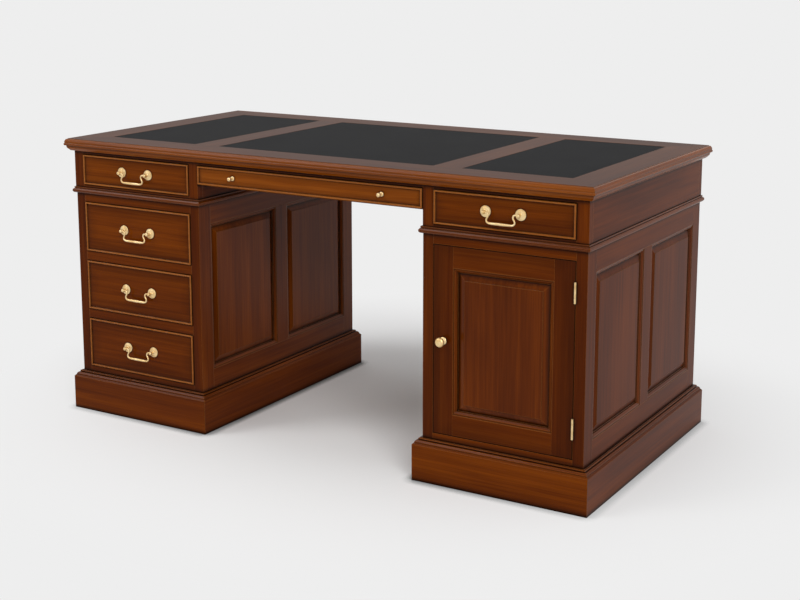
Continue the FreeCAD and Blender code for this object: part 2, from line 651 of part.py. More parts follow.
small_bead = ("-plinth_projection * 0.33", "-plinth_projection * 0.41")
large_top = ("-plinth_projection * 0.45", "base_bead")
large_foot = ("-plinth_projection * 0.78", "0")
base_outline = [
    ("base_mould_inside", "0"),
    ("base_mould_inside", "base_mould_height"),
    ("-plinth_projection * 0.2", "base_mould_height"),
    ("-plinth_projection * 0.2", "base_mould_height * 0.93"),
    (small_bead[0], "base_mould_height * 0.93"),
    (small_bead[1], "base_mould_height * 0.84"),
    (small_bead[1], "base_bead * 1.2"),
    (small_bead[0], "base_bead"),
    large_top,
    *facets(large_top, large_foot, "(-plinth_projection) * 0.06", "base_bead * 0.15"),
]
base = ring("base", base_outline, *pedestal_size, "plinth_projection", "base_mould_inside")
on_both_pedestals("base_mouldings", gather("base_moulding", base, z="plinth_height"))

round_back = "(waist_projection - waist_torus / 2)"
half_round = [(0, 1), (0.62, 0.905), (1, 0.655), (1, 0.345), (0.62, 0.095), (0, 0)]
waist_outline = [
    ("waist_inside", "0"),
    ("waist_inside", "waist_height"),
    ("-waist_fillet", "waist_height"),
    ("-waist_fillet", "waist_torus"),
]
waist_outline += [
    (f"-({round_back} + {out} * waist_torus / 2)", f"waist_torus * {up}") for out, up in half_round
]
waist = ring("waist", waist_outline, *pedestal_size, "waist_projection", "waist_inside")
on_both_pedestals("waist_mouldings", gather("waist_moulding", waist, z=CARCASE_TOP))

# ---------------------------------------------------------------- drawers
# A drawer's face is at Y 0 and faces -Y. Its origin is the middle of the front's lower edge.


def cock_bead(name, width, height):
    """Four mitred lengths round the edge of a drawer's front, with a rounded nose."""
    shoulder = "(bead_depth + bead_proud - bead_rise)"
    outline = [
        ("0", "0"),
        ("bead_width", "0"),
        ("bead_width", shoulder),
        ("bead_width * 0.7", "bead_depth + bead_proud"),
        ("bead_width * 0.3", "bead_depth + bead_proud"),
        ("0", shoulder),
    ]
    bead = ring(f"{name}_bead", outline, width, height, "0", "bead_width")
    return gather(f"{name}_cock_bead", bead, y="bead_depth", z=f"{height} / 2", stand=True)


def drawer(name, width, height):
    """A box whose sides are lapped into the ends of its front, with its bottom in a groove."""
    half = f"({width} / 2)"
    inner = f"({half} - drawer_side)"
    side_top = f"({height} - side_drop)"
    bottom_top = "(bottom_lift + drawer_bottom)"
    side_y = ("drawer_front - lap_depth", DRAWER_DEPTH)
    slab = box(f"{name}_slab", (f"-{half}", half), ("bead_depth", "drawer_front"), ("0", height))
    face = box(f"{name}_face", (f"-({half} - bead_width)", f"{half} - bead_width"),
               ("0", "bead_depth"), ("bead_width", f"{height} - bead_width"))
    left_board = box(f"{name}_left_board", (f"-{half}", f"-{inner}"), side_y, ("0", side_top))
    right_board = box(f"{name}_right_board", (inner, half), side_y, ("0", side_top))
    bottom = box(f"{name}_bottom", (f"-({inner} + bottom_groove)", f"{inner} + bottom_groove"),
                 ("drawer_front - bottom_groove", DRAWER_DEPTH), ("bottom_lift", bottom_top))
    front = cut(f"{name}_front", fuse(f"{name}_front_board", slab, face), left_board, right_board, bottom)
    left = cut(f"{name}_left", left_board, bottom)
    right = cut(f"{name}_right", right_board, bottom)
    back = box(f"{name}_back", (f"-{inner}", inner), (f"{DRAWER_DEPTH} - drawer_side", DRAWER_DEPTH),
               (bottom_top, side_top))
    return gather(name, front, left, right, back, bottom, cock_bead(name, width, height))


# ---------------------------------------------------------------- handles


def drum(name, sides, radius, length, bevel=None):
    """A many-sided drum along Z with a flat towards X. The bevel round its far end is (along,
    inwards)."""
    body = doc.addObject("PartDesign::Body", name)
    prism = body.newObject("PartDesign::AdditivePrism", "Drum")
    prism.Polygon = sides
    prism.AttachmentSupport = [(plane_of(body, "XY_Plane"), "")]
    prism.MapMode = "FlatFace"
    prism.AttachmentOffset = Placement(Vector(0, 0, 0), Rotation(Vector(0, 0, 1), 180 / sides))
    bind(prism, "Circumradius", radius)
    bind(prism, "Height", length)
    if bevel:
        doc.recompute()
        heights = [face.CenterOfMass.z for face in prism.Shape.Faces]
        far_end = heights.index(max(heights)) + 1
        edge = body.newObject("PartDesign::Chamfer", "Bevel")
        edge.Base = (prism, [f"Face{far_end}"])
        edge.ChamferType = "Two distances"
        bind(edge, "Size", bevel[0])
        bind(edge, "Size2", bevel[1])
    return body


def double_drum(name, sides, radius, length, bevel):
    """Two drums end to end, bevelled at both ends, with their middle at the origin."""
    half = drum(f"{name}_half", sides, radius, f"({length}) / 2", bevel)
    other = gather(f"{name}_other", half)
    other.Placement = Placement(Vector(0, 0, 0), Rotation(Vector(1, 0, 0), 180))
    return fuse(name, half, other)


def knob(name, x, plate, head, neck_radius, stand, sides):
    """A plate against the wood with a rounded head on a neck in front of it. The plate is (radius,
    thickness), the head (radius, length), and the head's middle is `stand` from the wood."""
    rose = drum(f"{name}_rose", 8, *plate, (f"{plate[1]} * 0.6", f"{plate[0]} * 0.35"))
    round_off = (f"{head[1]} * 0.25", f"{head[0]} * 0.42")
    neck = drum(f"{name}_neck", 6, neck_radius, stand)
    ball = gather(f"{name}_head", double_drum(f"{name}_ball", sides, *head, round_off), z=stand)
    return gather(name, fuse(f"{name}_whole", rose, neck, ball), x=x, stand=True)


def post(name, x, hand):
    """One post of a drawer's handle, bored from its inner side for the bail's pin."""
    whole = knob(name, x, ("rose_radius", "rose_thickness"), ("post_head", "post_head * 2"),
                 "post_radius", "pivot_stand", 6)
    bore = drum(f"{name}_bore", 6, "(bail_radius + bail_play) / cos(30)", "post_head * 2")
    bore.Placement = Placement(Vector(0, 0, 0), Rotation(Vector(0, 1, 0), 90 * hand))
    socket = gather(f"{name}_socket", bore, x=f"{hand} * (handle_centres / 2 - post_head * 1.6)",
                    y="-pivot_stand")
    return cut(f"{name}_bored", whole, socket)


half_centres = "(handle_centres / 2)"
handle_posts = gather("handle_posts", post("post_left", f"-{half_centres}", -1),
                      post("post_right", half_centres, 1))


def swan_neck_bail():
    """A drop handle: six-sided bar swept from pin to pin, down the swan necks and along the
    grip, which swells in the middle. The bail turns about X."""
    neck = [(0.08, 0), (0.37, 0), (0.53, 0.18), (0.48, 0.45), (0.35, 0.66), (0.37, 0.86), (0.55, 1)]
    path = [(f"({half_centres} - bail_drop * {x})", f"-bail_drop * {drop}") for x, drop in neck]
    path += [(f"-{x}", z) for x, z in reversed(path)]
    body = doc.addObject("PartDesign::Body", "bail_bar")
    spine = body.newObject("Sketcher::SketchObject", "Path")
    spine.AttachmentSupport = [(plane_of(body, "XZ_Plane"), "")]
    spine.MapMode = "FlatFace"
    points = [Vector(number(x), number(z), 0) for x, z in path]
    for index, (start, end) in enumerate(zip(points, points[1:])):
        spine.addGeometry(Part.LineSegment(start, end))
        if index:
            spine.addConstraint(Sketcher.Constraint("Coincident", index - 1, 2, index, 1))
    for index, point in enumerate(path):
        edge, end = (index, 1) if index < len(path) - 1 else (index - 1, 2)
        for kind, text in zip(("DistanceX", "DistanceY"), point):
            fixed = spine.addConstraint(Sketcher.Constraint(kind, -1, 1, edge, end, number(text)))
            bind(spine, f"Constraints[{fixed}]", text)
    around = [("cos(60)", "sin(60)"), ("-cos(60)", "sin(60)"), ("-1", "0")]
    around += [("-cos(60)", "-sin(60)"), ("cos(60)", "-sin(60)"), ("1", "0")]
    hexagon = [(f"bail_radius * ({x})", f"bail_radius * ({y})") for x, y in around]
    section = outline_sketch(body, "YZ_Plane", hexagon)
    section.AttachmentOffset = Placement(Vector(0, 0, number(path[0][0])), Rotation())
    bind(section, "AttachmentOffset.Base.z", path[0][0])
    bar = body.newObject("PartDesign::AdditivePipe", "Bar")
    bar.Profile = section
    bar.Spine = (spine, [])
    bar.Transition = "Right corner"
    taper = ("grip_length * 0.35", "bail_grip * 0.35")
    swelling = gather("bail_swelling",
                      double_drum("bail_grip", 6, "bail_grip", "grip_length", taper), z="-bail_drop")
    swelling.Placement.Rotation = Rotation(Vector(0, 1, 0), 90)
    return fuse("bail", body, swelling)


bail = swan_neck_bail()
small_knob = (("knob_radius * 1.1", "knob_radius * 0.36"), ("knob_radius", "knob_radius * 1.8"),
              "knob_radius * 0.5", "knob_stand", 8)
centre_knobs = gather("centre_knobs", knob("knob_left", "-knob_spacing / 2", *small_knob),
                      knob("knob_right", "knob_spacing / 2", *small_knob))

# ---------------------------------------------------------------- door
# The door's face is at Y 0 and faces -Y. Its origin is the middle of its lower edge, and it is
# hung on its right edge, on an axis in front of the gap.

DOOR_OPEN_X = f"({FRONT_WIDTH} - 2 * door_stile)"
DOOR_OPEN_Z = f"({DOOR_HEIGHT} - 2 * door_stile)"
door_edge = f"({FRONT_WIDTH} / 2)"
stile_in = f"({door_edge} - door_stile)"
door_z = ("0", DOOR_HEIGHT)
low_z_span = ("0", "door_stile")
high_z_span = (f"{DOOR_HEIGHT} - door_stile", DOOR_HEIGHT)
across = (f"-{stile_in}", stile_in)
door_panel, door_ovolo = panel_in_ovolo("door", DOOR_OPEN_X, DOOR_OPEN_Z)
door_frame = gather(
    "door_frame",
    grooved("door_left_stile", (f"-{door_edge}", f"-{stile_in}"), door_z, "door_thickness", ["right"]),
    grooved("door_right_stile", (stile_in, door_edge), door_z, "door_thickness", ["left"]),
    grooved("door_low_rail", across, low_z_span, "door_thickness", ["high"], tenons="x"),
    grooved("door_high_rail", across, high_z_span, "door_thickness", ["low"], tenons="x"),
    gather("door_moulding", door_ovolo, z=f"{DOOR_HEIGHT} / 2"),
)
raised_panel = gather("door_raised_panel", door_panel, z=f"{DOOR_HEIGHT} / 2")

HINGE_X = f"({door_edge} + front_gap / 2)"
hinge_bases = ["hinge_margin", f"({DOOR_HEIGHT} - hinge_margin - hinge_length)"]
knuckle = "(hinge_length / 4)"


def barrel(name, radius, z):
    piece = drum(name, 12, f"({radius}) / cos(15)", f"({z[1]}) - ({z[0]})")
    return move_to(piece, HINGE_X, "-knuckle_radius", z[0])


def moving_half(name, base):
    """The long middle knuckle with its leaf against the door's edge."""
    middle = (f"{base} + {knuckle} + swing_gap / 2", f"{base} + 3 * {knuckle} - swing_gap / 2")
    leaf_x = (door_edge, f"{door_edge} + leaf_thickness")
    leaf = box(f"{name}_leaf", leaf_x, ("swing_gap", "leaf_width"), (base, f"{base} + hinge_length"))
    web = box(f"{name}_web", leaf_x, ("-knuckle_radius", "swing_gap"), middle)
    whole = fuse(f"{name}_whole", barrel(f"{name}_knuckle", "knuckle_radius", middle), web, leaf)
    bore = barrel(f"{name}_bore", "pin_radius + pin_clearance", middle)
    return cut(name, whole, bore)


def fixed_half(name, base):
    """The end knuckles and their pin with the leaf on the carcase."""
    low = (base, f"{base} + {knuckle} - swing_gap / 2")
    high = (f"{base} + 3 * {knuckle} + swing_gap / 2", f"{base} + hinge_length")
    leaf_x = (f"{door_edge} + front_gap - leaf_thickness", f"{door_edge} + front_gap")
    return fuse(
        name,
        barrel(f"{name}_low", "knuckle_radius", low),
        barrel(f"{name}_high", "knuckle_radius", high),
        barrel(f"{name}_pin", "pin_radius", (base, f"{base} + hinge_length")),
        box(f"{name}_web_low", leaf_x, ("-knuckle_radius", "swing_gap"), low),
        box(f"{name}_web_high", leaf_x, ("-knuckle_radius", "swing_gap"), high),
        box(f"{name}_leaf", leaf_x, ("swing_gap", "leaf_width"), (base, f"{base} + hinge_length")),
    )


door_knob = knob("door_knob", f"-({door_edge} - door_stile / 2)",
                 ("door_knob_radius * 0.78", "door_knob_radius / 4"),
                 ("door_knob_radius", "door_knob_radius"), "door_knob_radius * 0.4",
                 "door_knob_stand - door_knob_radius / 2", 12)
catch_x = (f"-({stile_in} + catch_length / 2)", f"-({stile_in} - catch_length / 2)")
strike_y = ("door_thickness", "door_thickness + strike_thickness")
catch_y = ("door_thickness + strike_thickness + swing_gap", "rail_depth")
catch_top = f"({DOOR_HEIGHT} + front_gap)"
catch_z = (f"{catch_top} - catch_thickness", catch_top)
door_brass = gather(
    "door_brass",
    gather("door_knob_place", door_knob, z=f"{DOOR_HEIGHT} / 2"),
    *[moving_half(f"hinge_{index}", base) for index, base in enumerate(hinge_bases)],
    box("strike", catch_x, strike_y, (catch_z[0], DOOR_HEIGHT)),
)
hinge_seats = [fixed_half(f"seat_{index}", base) for index, base in enumerate(hinge_bases)]
magnet = box("magnet", catch_x, catch_y, catch_z)
fittings = gather("fittings", *hinge_seats, magnet, x=PEDESTAL_MID, y=f"-{PEDESTAL_Y}", z=FIRST_FRONT)
node("door_fittings", both_halves("door_fitting_pair", fittings))

# ---------------------------------------------------------------- what moves, at each user's side

pedestal_drawer = drawer("pedestal_drawer", FRONT_WIDTH, DRAWER_HEIGHT)
frieze_drawer = drawer("frieze_drawer", FRONT_WIDTH, FRIEZE_DRAWER_HEIGHT)
centre_drawer = drawer("centre_drawer", CENTRE_DRAWER_WIDTH, "centre_drawer_height")


def at_side(side, x, y, z):
    """A place on the front half, or the same place in the rear half."""
    if side == "front":
        return {"x": f"-({x})", "y": f"-({y})", "z": z}
    return {"x": x, "y": y, "z": z, "turn": 180}


def drawer_with_bail(side, label, drawn, height, x, y, z):
    node(f"{side}_{label}_drawer", drawn, **at_side(side, x, y, z))
    post_z = f"{z} + {height} / 2 + handle_lift"
    node(f"{side}_{label}_handle_posts", handle_posts, **at_side(side, x, y, post_z))
    node(f"{side}_{label}_bail", bail, **at_side(side, x, f"{y} + pivot_stand", post_z))


for side in ("front", "rear"):
    for step, level in enumerate(("low", "middle", "high")):
        drawer_z = f"({FIRST_FRONT} + {step} * {DRAWER_PITCH})"
        drawer_with_bail(side, f"{level}_pedestal", pedestal_drawer, DRAWER_HEIGHT, PEDESTAL_MID,
                         PEDESTAL_Y, drawer_z)
    for hand, sign in (("left", ""), ("right", "-")):
        drawer_with_bail(side, f"{hand}_frieze", frieze_drawer, FRIEZE_DRAWER_HEIGHT,
                         f"{sign}{PEDESTAL_MID}", FRIEZE_Y, FRIEZE_DRAWER_Z)
    node(f"{side}_centre_drawer", centre_drawer, **at_side(side, "0", FRIEZE_Y, CENTRE_DRAWER_Z))
    node(f"{side}_centre_knobs", centre_knobs,
         **at_side(side, "0", FRIEZE_Y, f"{CENTRE_DRAWER_Z} + centre_drawer_height / 2"))
    for label, thing in (("frame", door_frame), ("panel", raised_panel), ("brass", door_brass)):
        node(f"{side}_door_{label}", thing, **at_side(side, f"-{PEDESTAL_MID}", PEDESTAL_Y, FIRST_FRONT))

# ---------------------------------------------------------------- checks and files

doc.recompute()
broken = [thing.Label for thing in doc.Objects if {"Invalid", "Error"} & set(thing.State)]
if broken:
    raise SystemExit(f"not computed: {broken}")

os.makedirs("parts", exist_ok=True)
for group in NODES:
    if group.Shape.isNull() or not group.Shape.isValid():
        raise SystemExit(f"{group.Label}: no valid shape")
for group in NODES:
    Part.makeCompound(group.Shape.Solids).exportStep(f"parts/{group.Label}.step")
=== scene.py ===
import json
import math

import bmesh
import bpy
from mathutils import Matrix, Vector


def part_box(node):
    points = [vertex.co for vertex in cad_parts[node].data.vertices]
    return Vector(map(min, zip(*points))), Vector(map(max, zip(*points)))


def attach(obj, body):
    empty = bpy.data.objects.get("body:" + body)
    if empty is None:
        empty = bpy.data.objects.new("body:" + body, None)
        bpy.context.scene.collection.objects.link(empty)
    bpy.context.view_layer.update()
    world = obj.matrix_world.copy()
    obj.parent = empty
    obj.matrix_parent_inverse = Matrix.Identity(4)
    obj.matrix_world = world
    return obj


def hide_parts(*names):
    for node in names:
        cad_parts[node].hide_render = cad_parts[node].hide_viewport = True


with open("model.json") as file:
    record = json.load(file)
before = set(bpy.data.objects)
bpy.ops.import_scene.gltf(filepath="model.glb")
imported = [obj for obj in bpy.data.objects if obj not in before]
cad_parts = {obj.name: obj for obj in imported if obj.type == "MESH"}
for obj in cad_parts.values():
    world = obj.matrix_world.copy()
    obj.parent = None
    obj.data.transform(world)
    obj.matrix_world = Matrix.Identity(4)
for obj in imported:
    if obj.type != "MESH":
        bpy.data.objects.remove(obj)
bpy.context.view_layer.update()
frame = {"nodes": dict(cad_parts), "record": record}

# Partners desk in a pale studio. Metres. X runs along the front, the front faces -Y, Z is up.

record = frame["record"]
SLOT_OF = {part["node"]: part["material_slot"] for part in record["subparts"]}
BODY_OF = {
    node: body for body, nodes in record["behaviour"]["bodies"].items() for node in nodes
}


def middle_and_half(node):
    """The middle of a node's box and half of its size."""
    low, high = (Vector(corner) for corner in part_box(node))
    return (low + high) / 2, (high - low) / 2


# Places read from the frame.
FRONT = "front_low_pedestal_drawer"
PEDESTAL_X = abs(middle_and_half(FRONT)[0].x)
FACE_Y = abs(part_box("pedestal_front_rails")[0][1])
DRAWER_FACE = 0.0225
PEDESTAL_HALF_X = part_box("pedestal_stiles")[1][0] - PEDESTAL_X
FRIEZE_X, FRIEZE_Y = (abs(value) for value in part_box("frieze_posts")[0][:2])
DOOR_MIDDLE, DOOR_HALF = middle_and_half("front_door_frame")
DOOR_STILE = 0.053
SIDE_MIDDLE, SIDE_HALF = middle_and_half("panel_mouldings")
MUNTIN_HALF = 0.026

# ---------------------------------------------------------------- node graphs


LOOKS_ALONG = 0.5  # the share of a normal along an axis from which a face looks along it
CREASE_GAIN = 2.6
ARRIS_GAIN = 20.0


class Graph:
    """A material's nodes. Inputs take either values or other nodes' outputs."""

    def __init__(self, name):
        self.material = bpy.data.materials.new(name)
        self.material.use_nodes = True
        self.tree = self.material.node_tree
        self.surface = self.tree.nodes["Principled BSDF"]

    def put(self, socket, value):
        if isinstance(value, bpy.types.NodeSocket):
            self.tree.links.new(value, socket)
        else:
            socket.default_value = value

    def add(self, kind, inputs, **settings):
        node = self.tree.nodes.new(kind)
        for name, value in settings.items():
            setattr(node, name, value)
        for name, value in inputs.items():
            self.put(node.inputs[name], value)
        return node

    def math(self, operation, first, second=0.0):
        return self.add("ShaderNodeMath", {0: first, 1: second}, operation=operation).outputs[0]

    def split(self, vector):
        return self.add("ShaderNodeSeparateXYZ", {"Vector": vector}).outputs[:]

    def place(self):
        """Where a point is on the object, as three numbers."""
        return self.split(self.add("ShaderNodeTexCoord", {}).outputs["Object"])

    def vector(self, x, y, z):
        return self.add("ShaderNodeCombineXYZ", {"X": x, "Y": y, "Z": z}).outputs[0]

    def pick(self, mask, first, second):
        """The second vector or colour where the mask is 1."""
        inputs = {0: mask, 6: first, 7: second}
        return self.add("ShaderNodeMix", inputs, data_type="RGBA").outputs[2]

    def noise(self, vector, stretch, detail=3.0, roughness=0.5, distortion=0.0):
        stretched = self.add(
            "ShaderNodeVectorMath", {0: vector, 1: stretch}, operation="MULTIPLY"
        ).outputs[0]
        inputs = {
            "Vector": stretched,
            "Scale": 1.0,
            "Detail": detail,
            "Roughness": roughness,
            "Distortion": distortion,
        }
        return self.add("ShaderNodeTexNoise", inputs).outputs["Fac"]

    def ramp(self, factor, stops):
        node = self.add("ShaderNodeValToRGB", {"Fac": factor})
        elements = node.color_ramp.elements
        for index, (place, colour) in enumerate(stops):
            element = elements[index] if index < 2 else elements.new(place)
            element.position = place
            element.color = (*colour, 1.0)
        return node.outputs["Color"]

    def occlusion_shade(self, rounded, reach, amount):
        """Painted shade in inner corners and at the edges of gaps, from 0 to the amount."""
        inputs = {"Distance": reach, "Normal": rounded}
        clear = self.add("ShaderNodeAmbientOcclusion", inputs, samples=8)
        closed = self.math("SUBTRACT", 1.0, clear.outputs["AO"])
        return self.math("MINIMUM", self.math("MULTIPLY", closed, CREASE_GAIN), amount)

    def changing(self, value, low, high, start, end):
        """From the start to the end while the value goes from low to high."""
        limits = {"From Min": low, "From Max": high, "To Min": start, "To Max": end}
        return self.add("ShaderNodeMapRange", {"Value": value, **limits}).outputs["Result"]

    def facing(self, axis):
        """How far a face looks along an axis, in either sense."""
        normal = self.add("ShaderNodeTexCoord", {}).outputs["Normal"]
        return self.math("ABSOLUTE", self.split(normal)[axis])

    def outline(self, width, height, reach):
        """From 1 at the outline of a front of this size to 0 at the reach inside it, on the
        faces that look along Y."""
        across, _, up = self.split(self.add("ShaderNodeTexCoord", {}).outputs["Generated"])
        nearest = []
        for share, size in ((across, width), (up, height)):
            end = self.math("MINIMUM", share, self.math("SUBTRACT", 1.0, share))
            nearest.append(self.math("MULTIPLY", end, size))
        inside = self.math("MINIMUM", *nearest)
        near = self.changing(inside, 0.0, reach, 1.0, 0.0)
        return self.math("MULTIPLY", near, self.math("GREATER_THAN", self.facing(1), LOOKS_ALONG))

    def arrises(self, rounded, amount):
        """Outer corners, from 0 to the amount, where the rounded normal leaves the true one."""
        true = self.add("ShaderNodeNewGeometry", {}).outputs["True Normal"]
        along = self.add("ShaderNodeVectorMath", {0: rounded, 1: true}, operation="DOT_PRODUCT")
        turned = self.math("SUBTRACT", 1.0, along.outputs["Value"])
        return self.math("MINIMUM", self.math("MULTIPLY", turned, ARRIS_GAIN), amount)

    def finish(self, **values):
        for name, value in values.items():
            self.put(self.surface.inputs[name.replace("_", " ")], value)
        return self.material


# ---------------------------------------------------------------- grain directions
# Each returns a vector whose first number runs along the grain.


def grain_x(graph):
    x, y, z = graph.place()
    return graph.vector(x, y, z)


def grain_y(graph):
    x, y, z = graph.place()
    return graph.vector(y, x, z)


def grain_z(graph):
    x, y, z = graph.place()
    return graph.vector(z, x, y)


def beyond(graph, value, middle, half):
    """How far a place is beyond half a width from a middle, where both signs of it count."""
    offset = graph.math("SUBTRACT", graph.math("ABSOLUTE", value), middle)
    return graph.math("SUBTRACT", graph.math("ABSOLUTE", offset), half)


def mitred_round(middle_x, half_x, half_y):
    """Grain that follows four mitred lengths round a rectangle."""

    def grain(graph):
        x, y, z = graph.place()
        over_x = beyond(graph, x, middle_x, half_x)
        over_y = beyond(graph, y, 0.0, half_y)
        side = graph.math("GREATER_THAN", over_x, over_y)
        return graph.pick(side, graph.vector(x, y, z), graph.vector(y, x, z))

    return grain


def grain_of_panel_mouldings(graph):
    x, y, z = graph.place()
    half_y = (SIDE_HALF.y - MUNTIN_HALF) / 2
    over_y = beyond(graph, y, MUNTIN_HALF + half_y, half_y)
    over_z = beyond(graph, z, SIDE_MIDDLE.z, SIDE_HALF.z)
    upright = graph.math("GREATER_THAN", over_y, over_z)
    return graph.pick(upright, graph.vector(y, x, z), graph.vector(z, x, y))


def grain_of_door(graph):
    x, y, z = graph.place()
    over_x = beyond(graph, x, PEDESTAL_X, DOOR_HALF.x - DOOR_STILE)
    over_z = beyond(graph, z, DOOR_MIDDLE.z, DOOR_HALF.z - DOOR_STILE)
    stile = graph.math("GREATER_THAN", over_x, 0.0)
    ovolo = graph.math("GREATER_THAN", over_x, over_z)
    upright = graph.math("MAXIMUM", stile, ovolo)
    return graph.pick(upright, graph.vector(x, y, z), graph.vector(z, x, y))


def grain_of_drawer(graph):
    x, y, z = graph.place()
    behind = graph.math("LESS_THAN", graph.math("ABSOLUTE", y), FACE_Y - DRAWER_FACE)
    return graph.pick(behind, graph.vector(x, y, z), graph.vector(y, x, z))


# ---------------------------------------------------------------- materials

MAHOGANY = ((0.064, 0.0105, 0.0002), (0.108, 0.0195, 0.0003), (0.172, 0.0350, 0.0008))
STILE_MAHOGANY = ((0.047, 0.0072, 0.0001), (0.080, 0.0136, 0.0002), (0.128, 0.0250, 0.0006))
# The top's flat faces are greyer and darker than the other mahogany: partly their own tone,
# partly painted shade.
TOP_TONE_AND_SHADE_MAHOGANY = ((0.030, 0.0070, 0.0010), (0.052, 0.0130, 0.0022), (0.085, 0.0240, 0.0050))
DRAWER_MAHOGANY = ((0.072, 0.0122, 0.0002), (0.122, 0.0228, 0.0003), (0.192, 0.0410, 0.0008))
# The frieze drawers are painted lighter than the pedestal drawers, the centre drawer much
# lighter: painted light.
FRIEZE_LIT_MAHOGANY = ((0.084, 0.0150, 0.0004), (0.142, 0.0280, 0.0006), (0.222, 0.0500, 0.0016))
CENTRE_LIT_MAHOGANY = ((0.150, 0.0330, 0.0020), (0.250, 0.0600, 0.0040), (0.370, 0.1000, 0.0090))
# The top's moulded edge is painted lighter than the other mahogany: a painted highlight.
EDGE_HIGHLIT_MAHOGANY = ((0.115, 0.0235, 0.0010), (0.190, 0.0430, 0.0022), (0.290, 0.0740, 0.0050))
# Beads lighter: partly rubbed wear, partly a painted highlight.
BEAD_WORN_AND_HIGHLIT_MAHOGANY = ((0.230, 0.0620, 0.0060), (0.320, 0.0960, 0.0120), (0.420, 0.1400, 0.0220))
# Lighter colour on outer edges: partly rubbed wear, partly a painted highlight.
RUBBED_AND_HIGHLIT = (0.34, 0.115, 0.020)
# Dark colour for painted shade in creases and beside gaps, and for darkening each front towards
# its outline.
SHADE_AND_EDGE_DARK = (0.012, 0.0030, 0.0006)
# Width of the painted shade on each front beside its gap.
GAP_SHADE_WIDTH = 0.0018
# How far in from its outline each front is darkened.
OUTLINE_DARKENING_REACH = 0.045
SIDE_ROUGHNESS = 0.28
# Kneehole panels painted lighter: painted light.
KNEEHOLE_LIT_MAHOGANY = ((0.080, 0.0145, 0.0004), (0.138, 0.0275, 0.0008), (0.225, 0.0490, 0.0018))
FIGURE = {  # stretch along and across the grain, and share of the whole
    "broad": ((1.3, 9.0, 9.0), 0.42),
    "streaks": ((1.8, 95.0, 95.0), 0.38),
    "pores": ((9.0, 480.0, 480.0), 0.20),
}
DARK_AT, MIDDLE_AT, LIGHT_AT = 0.36, 0.50, 0.66
# How much each front is darkened at its outline.
OUTLINE_DARKENING_DEPTH = 0.34
EDGE_RADIUS = 0.0016
# How far outer edges are lightened: partly rubbed wear, partly a painted highlight.
EDGE_WEAR_AND_HIGHLIGHT = 0.50
CREASE_REACH = 0.012
PORE_BUMP = {"Strength": 0.05, "Distance": 0.0002}
LINING = ((0.30, 0.19, 0.10), (0.42, 0.28, 0.16), (0.52, 0.37, 0.22))


def figure(graph, grain):
    """Ribbon figure, streaks and pores of a straight-grained hardwood, from 0 to 1."""
    stretch = {kind: size for kind, (size, _) in FIGURE.items()}
    share = {kind: part for kind, (_, part) in FIGURE.items()}
    broad = graph.noise(grain, stretch["broad"], detail=2.0, distortion=0.5)
    streaks = graph.noise(grain, stretch["streaks"], detail=4.0, roughness=0.6, distortion=0.4)
    pores = graph.noise(grain, stretch["pores"], detail=2.0)
    broad = graph.math("MULTIPLY", broad, share["broad"])
    streaks = graph.math("MULTIPLY", streaks, share["streaks"])
    mixed = graph.math("ADD", broad, streaks)
    return graph.math("ADD", mixed, graph.math("MULTIPLY", pores, share["pores"])), pores


def toned(graph, factor, tones):
    dark, middle, light = tones
    return graph.ramp(factor, [(DARK_AT, dark), (LIGHT_AT, light), (MIDDLE_AT, middle)])


def wood(
    name, grain_from, tones=MAHOGANY, roughness=0.14, specular=0.05, crease_shade=0.95, front=None
):
    graph = Graph(name)
    grain = grain_from(graph)
    factor, pores = figure(graph, grain)
    colour = toned(graph, factor, tones)
    if front:
        size, face_y = front
        # Each front darkens towards its outline.
        near_edge = graph.outline(size.x, size.z, OUTLINE_DARKENING_REACH)
        outline_darkening = graph.math("MULTIPLY", near_edge, OUTLINE_DARKENING_DEPTH)
        colour = graph.pick(outline_darkening, colour, (*SHADE_AND_EDGE_DARK, 1.0))
        out = graph.math("ABSOLUTE", graph.place()[1])
        inside = graph.math("LESS_THAN", out, face_y - DRAWER_FACE)
        colour = graph.pick(inside, colour, toned(graph, factor, LINING))
    rounded = graph.add("ShaderNodeBevel", {"Radius": EDGE_RADIUS}, samples=6).outputs["Normal"]
    # Outer edges lighter: partly rubbed wear, partly a painted highlight.
    colour = graph.pick(graph.arrises(rounded, EDGE_WEAR_AND_HIGHLIGHT), colour, (*RUBBED_AND_HIGHLIT, 1.0))
    # Painted shade in inner corners, under beads and beside gaps.
    colour = graph.pick(graph.occlusion_shade(rounded, CREASE_REACH, crease_shade), colour, (*SHADE_AND_EDGE_DARK, 1.0))
    # Painted shade: a thin dark line on each front beside its gap.
    if front:
        colour = graph.pick(graph.outline(size.x, size.z, GAP_SHADE_WIDTH), colour, (*SHADE_AND_EDGE_DARK, 1.0))
    # A rougher polish on the faces that look along X, where the smooth one speckles.
    sideways = graph.math("GREATER_THAN", graph.facing(0), LOOKS_ALONG)
    roughness = graph.math("MAXIMUM", roughness, graph.math("MULTIPLY", sideways, SIDE_ROUGHNESS))
    bump = graph.add(
        "ShaderNodeBump",
        {**PORE_BUMP, "Height": pores, "Normal": rounded},
    ).outputs["Normal"]
    return graph.finish(
        Base_Color=colour,
        Roughness=roughness,
        Specular_IOR_Level=specular,
        Normal=bump,
    )


def leather():
    graph = Graph("leather")
    x, y, z = graph.place()
    place = graph.vector(x, y, z)
    grains = graph.add("ShaderNodeTexVoronoi", {"Vector": place, "Scale": 900.0})
    mottle = graph.noise(place, (9.0, 9.0, 9.0), detail=3.0)
    colour = graph.ramp(mottle, [(0.3, (0.0055, 0.0055, 0.006)), (0.7, (0.0080, 0.0080, 0.0085))])
    bump = graph.add(
        "ShaderNodeBump",
        {"Strength": 0.25, "Distance": 0.0003, "Height": grains.outputs["Distance"]},
    )
    return graph.finish(
        Base_Color=colour, Roughness=0.62, Specular_IOR_Level=0.035, Normal=bump.outputs["Normal"]
    )


